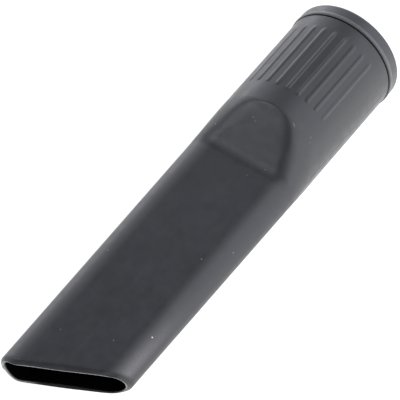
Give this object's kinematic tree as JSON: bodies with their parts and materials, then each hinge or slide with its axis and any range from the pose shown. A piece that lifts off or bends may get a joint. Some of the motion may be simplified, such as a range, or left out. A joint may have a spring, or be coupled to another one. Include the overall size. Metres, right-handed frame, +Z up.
{
  "type": "vacuum cleaner crevice nozzle",
  "caption": "Push-on crevice nozzle: round ribbed hose socket with a collar ring, a ramp down to a flat hollow lance, and a slanted open mouth.",
  "frame": {"origin": "centre of the hose socket's mouth, on the duct's axis at the collar's outer face", "axes": "+Z up as the nozzle lies on a table, resting on the edge under the ramp and on the lower lip of the mouth; the duct runs towards -Y with its mouth end 6.65 degrees down and turned 3.2 degrees about its axis, and +X is towards the mouth's short side"},
  "size_m": [0.0396, 0.1667, 0.044],
  "materials": {
    "body_plastic": "satin moulded polyethylene, dark blue-grey",
    "collar_plastic": "satin moulded plastic, slightly bluer dark grey"
  },
  "bodies": {
    "root": {"nozzle_body": "body_plastic", "end_collar": "collar_plastic"}
  },
  "joints": []
}
